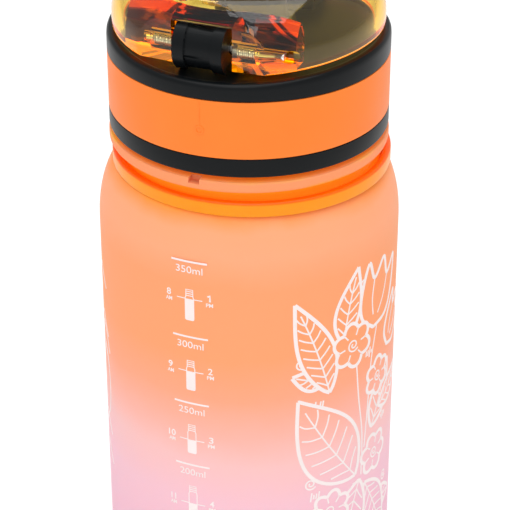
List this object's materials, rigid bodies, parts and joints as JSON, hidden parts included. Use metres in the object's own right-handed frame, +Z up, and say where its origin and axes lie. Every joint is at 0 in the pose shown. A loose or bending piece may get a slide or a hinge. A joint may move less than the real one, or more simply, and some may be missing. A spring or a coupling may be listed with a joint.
{
  "type": "flip-top drinking bottle",
  "caption": "Frosted drinking bottle with a volume scale, a screw cap with a grip band, a transparent sprung flip lid, a push-button latch, a locking bail and a carry ring.",
  "frame": {"origin": "middle of the bottle's base, on the surface it stands on", "axes": "+Z up along the bottle's axis, +Y towards the lid's hinge, -Y towards the latch button, +X across along the hinge pin"},
  "size_m": [0.065, 0.065, 0.177],
  "materials": {
    "frosted_body": "frosted spray, orange fading to pink",
    "clear_orange": "translucent orange",
    "black_plastic": "satin moulded",
    "band_orange": "fine satin moulded",
    "amber_lid": "transparent amber, polished",
    "silicone": "translucent white silicone",
    "smoke_plastic": "satin",
    "steel": "drawn stainless wire"
  },
  "bodies": {
    "bottle": {"bottle_body": "frosted_body", "strainer": "smoke_plastic"},
    "ring": {"carry_ring": "clear_orange"},
    "seal": {"neck_seal": "silicone"},
    "cap": {"cap_collar": "black_plastic", "grip_band": "band_orange", "cap_top": "black_plastic", "spout": "black_plastic", "spout_seal": "silicone", "vent_valve": "silicone", "hinge_pin": "steel", "latch_spring": "steel"},
    "lid": {"flip_lid": "amber_lid", "lid_plug": "silicone", "hinge_spring_left": "steel", "hinge_spring_right": "steel"},
    "latch": {"latch_button": "black_plastic"},
    "bail": {"lock_bail": "black_plastic"}
  },
  "joints": [
    {"name": "ring_swivel", "type": "hinge", "parent": "bottle", "child": "ring", "pos_m": [0, 0, 0.135], "axis": [0, 0, 1], "continuous": true},
    {"name": "cap_lift", "type": "slide", "parent": "bottle", "child": "seal", "axis": [0, 0, 1], "range_m": [0, 0.0081]},
    {"name": "cap_turn", "type": "hinge", "parent": "seal", "child": "cap", "pos_m": [0, 0, 0.15], "axis": [0, 0, 1], "range_deg": [0, 720]},
    {"name": "lid_hinge", "type": "hinge", "parent": "cap", "child": "lid", "pos_m": [0, 0.0221, 0.1664], "axis": [-1, 0, 0], "range_deg": [0, 118]},
    {"name": "latch_push", "type": "slide", "parent": "cap", "child": "latch", "axis": [0, 1, 0], "range_m": [0, 0.0015], "stiffness_N_per_m": 400, "springref_m": -0.0005, "deforming": ["latch_spring"]},
    {"name": "bail_swing", "type": "hinge", "parent": "cap", "child": "bail", "pos_m": [0, -0.0309, 0.16], "axis": [-1, 0, 0], "range_deg": [0, 186]}
  ],
  "couplings": [
    {"joint": "cap_lift", "follows": "cap_turn", "m_per_rad": 0.00063662}
  ]
}
